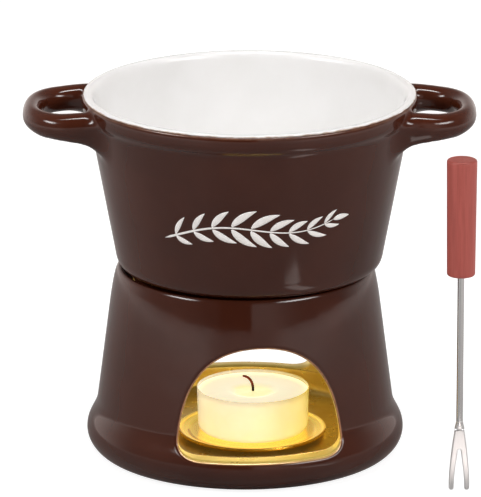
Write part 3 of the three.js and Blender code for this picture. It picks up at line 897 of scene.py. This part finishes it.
def make_stand(glaze):
    """The stand, with its distances from the arches and the outside as attributes for the glaze."""
    field, arch = stand_field()
    low = (STAND_X - STAND_BEAD - 2, -STAND_BEAD - 2, -2)
    high = (STAND_X + STAND_BEAD + 2, STAND_BEAD + 2, STAND_TOP + 2)
    stand, points = field_mesh("stand_body", field, low, high, FINE_GRID)
    radius = np.hypot(points[:, 0] - STAND_X, points[:, 1])
    z = points[:, 2]
    neck_r, neck_z = STAND_NECK
    bead = (STAND_BEAD - neck_r) * ease((neck_z - z) / (neck_z - STAND_BEAD_Z))
    below_ledge = ease((STAND_LEDGE[1] - 5.0 - z) / 3)
    gilded = (z > FRONT_SILL - 2.0) * below_ledge
    seat = (radius < STAND_LIP + 0.4) & (z > STAND_LEDGE[1] - 0.6)
    set_attribute(stand, "arch", arch(*points.T))
    set_attribute(stand, "depth", gilded * (stand_outside(z) + bead - radius))
    set_attribute(stand, "bare", seat)
    paint(stand, glaze)
    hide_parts("stand")
    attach(stand, "stand")


def make_lustre(material):
    """The gold layer on the stand's floor and lower inner wall."""
    inner = stand_inside(STAND_NECK[1]) - 0.05
    low = STAND_FLOOR + 0.05
    thick = 0.4
    top = REAR_SILL - 0.3
    o = Outline(0, low)
    o.line(inner - 3.5, low, 10)
    o.curve((inner, low), (inner, low + 3.5))
    o.line(inner, top, 4)
    o.curve((inner, top + 0.3), (inner - thick, top + 0.2), (inner - thick, top - 0.3))
    o.line(inner - thick, low + 3.5 + thick, 4)
    o.curve((inner - thick, low + thick), (inner - 3.5 - thick, low + thick))
    o.line(0, low + thick, 10)

    def below_front_sill(r, z, a):
        """The wall's layer is lower where the front arch is cut."""
        across, ahead = arch_axes(r * np.cos(a), r * np.sin(a))
        share = ease((ARCH_HALF + 0.5 - np.abs(across)) / 3) * (ahead > 0)
        limit = FRONT_SILL - 0.3 + (top + 1 - FRONT_SILL) * (1 - share)
        return r, np.minimum(z, limit)

    layer = turned("stand_gold_layer", o.array(), 160, (STAND_X, 0), below_front_sill)
    paint(layer, material)
    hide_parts("stand_gold_lustre")
    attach(layer, "stand")


# ---- Pot

def make_pot(glaze):
    """The brown pot with its two handles, in one piece."""
    field = pot_field()
    low = (-HANDLE_REACH - 2, -POT_RIM - 2, POT_FOOT_Z - 2)
    high = (HANDLE_REACH + 2, POT_RIM + 2, POT_TOP + 2)
    pot, _ = field_mesh("pot_brown_body", field, low, high, GRID)
    paint(pot, glaze)
    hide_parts("pot_body")
    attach(pot, "pot")


def make_white_glaze(material):
    """The white lining. Its outer edge runs over the rim's top in a slightly wavy line."""
    inner = draw_bowl(Outline(0, BOWL_FLOOR), 0)
    inner.line(POT_RIM - 1.7, POT_TOP, 4)
    inner.curve((POT_RIM - 0.9, POT_TOP), (POT_RIM - 0.45, POT_TOP - 0.45))
    inner.curve((POT_RIM - 0.5, POT_TOP - 0.8), (POT_RIM - 0.9, POT_TOP - 0.75))
    outer = draw_bowl(Outline(0, BOWL_FLOOR - 0.4), 0.4)
    outline = np.vstack([outer.array(), inner.array()[::-1]])

    def wavy(r, z, a):
        edge = np.clip((r - POT_RIM + 2) / 1.5, 0, 1) * (z > POT_TOP - 5)
        wave = 0.07 * np.sin(5 * a + 1.3) + 0.05 * np.sin(11 * a + 0.4) + 0.03 * np.sin(23 * a)
        return r + edge * wave, z

    lining = turned("pot_white_lining", outline, 192, wobble=wavy)
    paint(lining, material)
    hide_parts("pot_white_glaze")
    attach(lining, "pot")


# ---- Sprig on the pot's front, a generic leafy decoration

def wall_point(across, z, lift):
    """A place on the pot's front wall: across is measured along the wall from the middle."""
    share = (z - POT_CORNER[1]) / (POT_COLLAR[1] - POT_CORNER[1])
    radius = POT_CORNER[0] + share * (POT_COLLAR[0] - POT_CORNER[0])
    angle = across / radius - math.pi / 2
    radius = radius + lift
    return np.stack([radius * np.cos(angle), radius * np.sin(angle), z], -1)


def wall_stroke(name, line, half_width, lift=0.28):
    """A raised brush stroke on the wall, along a line of (across, height), with a domed section."""
    line = np.asarray(line, float)
    tangent = np.gradient(line, axis=0)
    tangent /= np.linalg.norm(tangent, axis=1)[:, None]
    side = np.stack([-tangent[:, 1], tangent[:, 0]], 1)
    rings = []
    dome = [(-1, 0.0), (-0.6, 0.72), (0, 1.0), (0.6, 0.72), (1, 0.0), (0.6, -0.6), (-0.6, -0.6)]
    for p, s, w in zip(line, side, half_width):
        high = lift * min(1, w / 0.5)
        rings.append([wall_point(*(p + s * w * off), high * up) for off, up in dome])
    return lofted(name, rings)


LEAF_POINTS = 15


def leaf_line(root, angle, length, bend):
    """The middle line of a leaf, bending to one side."""
    turn = angle + bend * np.linspace(0, 1, LEAF_POINTS)
    step = length / (LEAF_POINTS - 1)
    x = root[0] + np.cumsum(np.cos(turn)) * step
    y = root[1] + np.cumsum(np.sin(turn)) * step
    return np.stack([x, y], 1)


def leaf_width(widest):
    """Half widths along a leaf, which is widest past its middle and pointed at both ends."""
    t = np.linspace(0, 1, LEAF_POINTS)
    return widest * np.sin(math.pi * np.clip(t * 0.97 + 0.02, 0, 1) ** 0.8) ** 0.9 + 0.03


def sprig_stem(t):
    """The stem's middle line, a long shallow wave."""
    across = -30 + 60 * t
    z = 86.5 + 7.0 * t + 2.6 * np.sin(2 * math.pi * t - 0.4)
    return np.stack([across, z], -1)


def make_sprig(material):
    """A stem with pairs of leaves, which are smaller towards both ends."""
    t = np.linspace(0, 1, 60)
    width = 0.42 * (1 - 0.65 * t) * np.clip(np.minimum(t, 1 - t) * 30, 0.1, 1)
    strokes = [wall_stroke("sprig_stem", sprig_stem(t), width)]
    pairs = 9
    for i in range(pairs):
        at = 0.07 + 0.86 * i / (pairs - 1)
        root = sprig_stem(np.array(at))
        ahead = sprig_stem(np.array(at + 0.01)) - root
        along = math.atan2(ahead[1], ahead[0])
        grow = 1 - 0.45 * abs(2 * at - 0.9)
        for side in (1, -1):
            spread = side * (1.05 - 0.35 * at)
            long = 10.4 * grow * (1 + 0.08 * math.sin(i * GOLDEN * 2 + side))
            line = leaf_line(root, along + spread, long, -0.55 * side)
            name = f"sprig_leaf_{i}_{'a' if side > 0 else 'b'}"
            strokes.append(wall_stroke(name, line, leaf_width(1.35 * grow)))
    tip = sprig_stem(np.array(0.985))
    strokes.append(wall_stroke("sprig_leaf_tip", leaf_line(tip, 0.25, 6.5, -0.3), leaf_width(1.0)))
    for stroke in strokes:
        paint(stroke, material)
        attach(stroke, "pot")


# ---- Saucer and tealight

POOL_RADIUS = 7.0
CUP_THICK = 0.4
WAX_TOP = CUP_LOW[2] + 13.6


def make_saucer(material):
    """A stamped dish: a wide flat middle, a low step, a narrow flange and a rolled lip."""
    low = SAUCER_LOW[2]
    high = SAUCER_HIGH[2]
    radius, flange = SAUCER_RADIUS, SAUCER_FLANGE
    centre = (SAUCER_LOW + SAUCER_HIGH)[:2] / 2
    o = Outline(0, low, 0.2)
    o.line(flange - 1.8, low, 12)
    o.curve((flange - 1.0, low), (flange - 0.7, low + 0.5), (flange, low + 0.55))
    o.line(radius - 1.4, low + 0.75)
    o.curve((radius - 0.5, low + 0.85), (radius, high - 0.95), (radius, high - 0.45))
    o.curve((radius, high), (radius - 0.5, high))
    o.curve((radius - 0.95, high), (radius - 1.1, high - 0.5))
    o.curve((radius - 1.25, low + 1.35), (flange, low + 1.15))
    o.curve((flange - 0.8, low + 1.1), (flange - 1.1, low + 0.6), (flange - 1.9, low + 0.6))
    o.line(0, low + 0.6, 12)
    saucer = turned("candle_saucer_dish", o.array(), 144, centre)
    paint(saucer, material)
    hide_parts("candle_saucer")
    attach(saucer, "saucer")


def cup_radius(z):
    """Radius of the outside of the cup, which widens upwards."""
    share = (z - CUP_LOW[2]) / (CUP_HIGH[2] - CUP_LOW[2])
    return 18.7 + 0.4 * share


def make_cup(material):
    """The tealight's thin cup, with a rounded lower corner."""
    low, high = CUP_LOW[2], CUP_HIGH[2]
    t = CUP_THICK
    o = Outline(0, low, 0.3)
    o.line(cup_radius(low) - 2.4, low, 10)
    o.curve((cup_radius(low) - 0.2, low), (cup_radius(low + 2.4), low + 2.4))
    o.line(cup_radius(high), high - 0.5, 10)
    o.curve((cup_radius(high) + 0.02, high), (cup_radius(high) - t / 2, high))
    o.curve((cup_radius(high) - t, high), (cup_radius(high) - t, high - 0.5))
    o.line(cup_radius(low + 2.4) - t, low + 2.4, 10)
    o.curve((cup_radius(low) - t - 0.2, low + t), (cup_radius(low) - 2.4 - t / 2, low + t))
    o.line(0, low + t, 10)
    cup = turned("candle_clear_cup", o.array(), 144, (CANDLE_X, CANDLE_Y))
    paint(cup, material)
    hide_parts("candle_cup")
    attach(cup, "candle")


def make_wax(material):
    """The wax fills the cup, creeps up its wall a little and is hollowed by the melt pool."""
    gap = CUP_THICK + 0.04
    low = CUP_LOW[2] + gap
    edge = cup_radius(WAX_TOP) - gap
    o = Outline(0, low, 0.5)
    o.line(cup_radius(low) - 3.0, low, 8)
    o.curve((cup_radius(low) - gap - 0.2, low), (cup_radius(low + 2.4) - gap, low + 2.4))
    o.line(edge, WAX_TOP + 0.35, 10)
    o.curve((edge - 0.1, WAX_TOP), (edge - 1.4, WAX_TOP))
    o.line(POOL_RADIUS + 2.5, WAX_TOP - 0.05, 8)
    shore = (POOL_RADIUS + 0.6, WAX_TOP - 0.05)
    o.curve(shore, (POOL_RADIUS + 0.2, WAX_TOP - 0.55), (POOL_RADIUS - 1.4, WAX_TOP - 0.6))
    o.line(1.2, WAX_TOP - 0.6, 6)
    o.curve((0.7, WAX_TOP - 0.6), (0.5, WAX_TOP - 0.35))
    o.line(0, WAX_TOP - 0.3)

    def uneven(r, z, a):
        top = (z > WAX_TOP - 1) * np.clip(r / 4, 0, 1) * np.clip((18 - r) / 3, 0, 1)
        wave = 0.10 * np.sin(2 * a + 0.7) + 0.06 * np.sin(3 * a + 2.1) + 0.03 * np.sin(7 * a)
        rim = np.exp(-(((r - POOL_RADIUS) / 2.0) ** 2)) * (z > WAX_TOP - 1)
        return r + rim * (0.5 * np.sin(2 * a + 1.0) + 0.3 * np.sin(3 * a)), z + top * wave * 0.6

    wax = turned("candle_wax_fill", o.array(), 144, (CANDLE_X, CANDLE_Y), uneven)
    paint(wax, material)
    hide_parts("candle_wax")
    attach(wax, "candle")


def make_wick(material, tab_material):
    """The braided wick stands up from its tab and leans to the left. The tab keeps its CAD shape."""
    foot = CUP_LOW[2] + CUP_THICK + 0.2
    surface = WAX_TOP - 0.5
    up, lean = 5.4, 3.2
    o = Outline(0, foot, 0.25)
    o.line(0, surface + 0.6, 8)
    o.curve((0.05, surface + 0.5 * up), (-0.25 * lean, surface + 0.95 * up), (-lean, surface + up))
    line = o.array()
    path = np.stack([CANDLE_X + line[:, 0], np.full(len(line), CANDLE_Y), line[:, 1]], 1)
    along = np.arange(len(path))
    radius = 0.46 + 0.05 * np.sin(along * 1.9) - 0.12 * np.clip((along - len(path) + 5) / 5, 0, 1)
    wick = swept("candle_braided_wick", path, radius, 12)
    paint(wick, material)
    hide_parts("candle_wick")
    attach(wick, "candle")
    paint(bpy.data.objects["wick_tab"], tab_material)


# ---- Fork

def make_fork_handle(material):
    """The handle. Like the rest of the fork, it isn't mirrored in the glaze."""
    bottom, top = FORK_LOW[2], FORK_HIGH[2]
    top_r, bottom_r = 5.05, 4.7
    o = Outline(0, bottom + 0.25, 0.2)
    o.line(1.6, bottom + 0.25, 4)
    o.curve((2.0, bottom + 0.2), (2.3, bottom))
    o.line(bottom_r - 0.9, bottom, 3)
    o.curve((bottom_r, bottom), (bottom_r + 0.01, bottom + 0.9))
    o.line(top_r, top - 1.0, 24)
    o.curve((top_r, top - 0.1), (top_r - 1.0, top - 0.06))
    o.line(0, top, 6)
    handle = turned("fork_turned_handle", o.array(), 72, (FORK_X, FORK_Y))
    paint(handle, material)
    handle.visible_glossy = False
    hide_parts("fork_handle")
    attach(handle, "fork")


def make_fork_shaft(material):
    """The shaft runs from the head's neck up into the handle."""
    shaft_low, _ = cad_box("fork_shaft")
    z = np.linspace(shaft_low[2] - 0.2, FORK_LOW[2] + 3, 40)
    path = np.stack([np.full_like(z, FORK_X), np.full_like(z, FORK_Y), z], 1)
    shaft = swept("fork_steel_shaft", path, FORK_SHAFT, 32)
    paint(shaft, material)
    shaft.visible_glossy = False
    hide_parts("fork_shaft")
    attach(shaft, "fork")


def fork_outline():
    """The head seen from the front: x across from its middle, y up from the prongs' tips."""
    outer, tip, crotch = 3.45, 0.85, 14.4
    middle = outer - tip
    inner = middle - tip
    o = Outline(0, FORK_NECK_Z, 0.3)
    o.line(1.55, FORK_NECK_Z)
    o.curve((2.25, 17.2), (3.35, 7.9), (outer, 3.0))
    o.line(outer, tip)
    o.curve((outer, 0.45 * tip), (middle + 0.55 * tip, 0), (middle, 0))
    o.curve((middle - 0.55 * tip, 0), (inner, 0.45 * tip), (inner, tip))
    o.curve((inner, 6.4), (0.8, 10.4), (0.6, crotch - 1))
    o.curve((0.45, crotch), (0, crotch))
    half = o.array()
    return np.vstack([half, half[-2:0:-1] * (-1, 1)])


def fork_field():
    """The head, a plate with eased edges and thinner tips, under the flattened weld to the shaft."""
    section = Section(fork_outline(), (-6, -2), (6, 27))

    def field(x, y, z):
        across, deep = x - FORK_X, np.abs(y - FORK_Y)
        half_thick = 0.36 + 0.29 * np.clip(z / 12, 0, 1)
        plate = -smooth_join(-section(across, z), half_thick - deep, 0.35)
        share = np.clip((z - FORK_NECK_Z) / 2.6, 0, 1)
        wide = 1.8 + (FORK_SHAFT - 1.8) * share
        thick = 0.8 + (FORK_SHAFT - 0.8) * share
        round_neck = (np.hypot(across / wide, deep / thick) - 1) * thick
        neck = np.maximum(round_neck, np.abs(z - FORK_NECK_Z - 1.75) - 1.45)
        core = np.maximum(round_neck + 0.25, np.abs(z - FORK_NECK_Z) - 1.0)
        return np.minimum(np.minimum(plate, neck), core)

    return field


def make_fork_head(material):
    low = (FORK_X - 4.6, FORK_Y - 2.2, -0.9)
    high = (FORK_X + 4.6, FORK_Y + 2.2, FORK_NECK_Z + 5)
    field = fork_field()
    points, quads = surface_nets(field, low, high, 0.22)
    points, _ = settle(field, points, 2)
    points[:, 2] = np.maximum(points[:, 2], 0)
    head = new_mesh("fork_pronged_head", points, quads.tolist())
    paint(head, material)
    head.visible_glossy = False
    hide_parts("fork_head", "fork_neck")
    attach(head, "fork")


# ---- Studio

FLOOR_REACH = 6.0
CAMERA_DISTANCE = 2.2
CAMERA_DOWN = math.radians(16.5)
CAMERA_TARGET = (-0.00305, 0.0, 0.070)
CAMERA_LENS = 470
ROOM_TINT = (1.0, 0.90, 0.86)
SOFTBOX_GAIN = 2.2  # makes up for the light lost at a softbox's faded edges
CARD = (FORK_X + 6, FORK_Y - 46)  # middle of the bright card in front of the fork


def make_camera():
    data = bpy.data.cameras.new("camera")
    data.lens = CAMERA_LENS
    data.sensor_width = 36
    data.clip_end = 50
    camera = bpy.data.objects.new("camera", data)
    camera.location = (
        CAMERA_TARGET[0],
        CAMERA_TARGET[1] - CAMERA_DISTANCE * math.cos(CAMERA_DOWN),
        CAMERA_TARGET[2] + CAMERA_DISTANCE * math.sin(CAMERA_DOWN),
    )
    camera.rotation_euler = (math.pi / 2 - CAMERA_DOWN, 0, 0)
    bpy.context.scene.collection.objects.link(camera)
    bpy.context.scene.camera = camera


def make_floor():
    """A pale floor, white to the camera. The object sees it bright far off and dim near by and in front,
    and the fork sees a bright card that lies before it."""
    bpy.ops.mesh.primitive_plane_add(size=2 * FLOOR_REACH, location=(0, 0, -0.0002))
    floor = bpy.context.object
    floor.name = "studio_floor"
    p = Paint("studio_floor", Roughness=1.0, Specular_IOR_Level=0.0)
    p.set("Base Color", (0.30, 0.298, 0.295))
    radius = p.radius()
    far = p.remap(radius, 130, 900, 0.10, 0.80)
    forward = p.math("DIVIDE", p.axis("Y"), p.math("ADD", radius, 1.0))
    in_front = p.remap(forward, -0.98, -0.80, 0.45, 1.0)
    card_x = p.math("ABSOLUTE", p.axis("X", CARD[0]))
    card_y = p.math("ABSOLUTE", p.axis("Y", CARD[1]))
    card = p.times(p.remap(card_x, 8, 18, 1.5, 0.0), p.remap(card_y, 20, 40, 1.0, 0.0))
    glow = p.math("MAXIMUM", p.times(far, in_front), card)
    seen = p.seen_by_camera()
    p.set("Emission Color", p.mix(seen, ROOM_TINT, (1.0, 1.0, 1.0)))
    p.set("Emission Strength", p.remap(seen, 0.0, 1.0, glow, 0.90, smooth=False))
    paint(floor, p.material)


def make_world():
    """White to the camera. The object sees a dark room, with a bright backdrop behind it and a panel on
    the right."""
    world = bpy.data.worlds.new("studio")
    bpy.context.scene.world = world
    world.use_nodes = True
    world.node_tree.nodes.clear()
    w = Nodes(world.node_tree)
    x, y, z = w.split(w.node("ShaderNodeTexCoord").outputs["Generated"])
    behind = w.times(w.remap(y, -0.1, 0.7, 0.0, 0.75), w.remap(z, 0.08, 0.55, 1.0, 0.22))
    side = w.math("ADD", w.remap(w.math("ABSOLUTE", x), 0.4, 1.0, 0.04, 0.20),
                  w.remap(x, -0.42, -0.32, 0.09, 0.0))
    panel = w.times(w.remap(x, 0.085, 0.115), w.remap(x, 0.3, 0.9, 0.55, 0.0),
                    w.remap(z, 0.35, 0.8, 1.0, 0.0), w.remap(y, -0.3, 0.0, 1.0, 0.0))
    room = w.node("ShaderNodeBackground")
    w.feed(room.inputs["Color"], (*ROOM_TINT, 1.0))
    w.feed(room.inputs["Strength"], w.math("ADD", w.math("ADD", side, behind), panel))
    white = w.node("ShaderNodeBackground")
    white.inputs["Color"].default_value = (1.0, 1.0, 1.0, 1.0)
    choose = w.node("ShaderNodeMixShader")
    w.feed(choose.inputs["Fac"], w.seen_by_camera())
    w.feed(choose.inputs[1], room.outputs["Background"])
    w.feed(choose.inputs[2], white.outputs["Background"])
    out = w.node("ShaderNodeOutputWorld")
    w.feed(out.inputs["Surface"], choose.outputs["Shader"])


def softbox(name, place, aim, size, power):
    """A rectangular light aimed at a point. It fades towards its edges, as a diffuser does."""
    data = bpy.data.lights.new(name, "AREA")
    data.shape = "RECTANGLE"
    data.size, data.size_y = size
    data.energy = power
    data.use_nodes = True
    n = Nodes(data.node_tree)
    across, along, _ = n.split(n.node("ShaderNodeNewGeometry").outputs["Parametric"])
    fades = [n.times(n.remap(v, 0.0, 0.4), n.remap(v, 0.6, 1.0, 1.0, 0.0)) for v in (across, along)]
    n.feed(n.tree.nodes["Emission"].inputs["Strength"], n.times(*fades, SOFTBOX_GAIN))
    light = bpy.data.objects.new(name, data)
    light.location = place
    direction = np.array(aim) - np.array(place)
    flat = math.hypot(direction[0], direction[1])
    light.rotation_euler = (math.atan2(flat, -direction[2]), 0, math.atan2(-direction[0], direction[1]))
    bpy.context.scene.collection.objects.link(light)


def make_lights():
    aim = (0, 0, 0.07)
    softbox("softbox_top", (0, -0.15, 0.95), aim, (1.0, 0.16), 5.2)
    softbox("softbox_left", (-0.90, -0.42, 0.80), aim, (0.80, 0.36), 6.2)
    softbox("softbox_right", (0.79, -0.60, 0.80), aim, (0.95, 0.36), 6.2)


make_camera()
make_world()
make_floor()
make_lights()

make_stand(stand_glaze())
make_lustre(gold_lustre())
make_pot(pot_glaze())
make_white_glaze(white_glaze())
make_sprig(sprig_white())
make_saucer(gold_metal())
make_cup(candle_cup())
make_wax(cream_wax())
make_wick(burnt_wick(), tab_steel())
make_fork_handle(red_handle())
make_fork_shaft(fork_steel("fork_polished_steel", 1.0))
make_fork_head(fork_steel("fork_satin_steel", 0.1))

scene = bpy.context.scene
scene.view_settings.view_transform = "Standard"
scene.view_settings.look = "None"
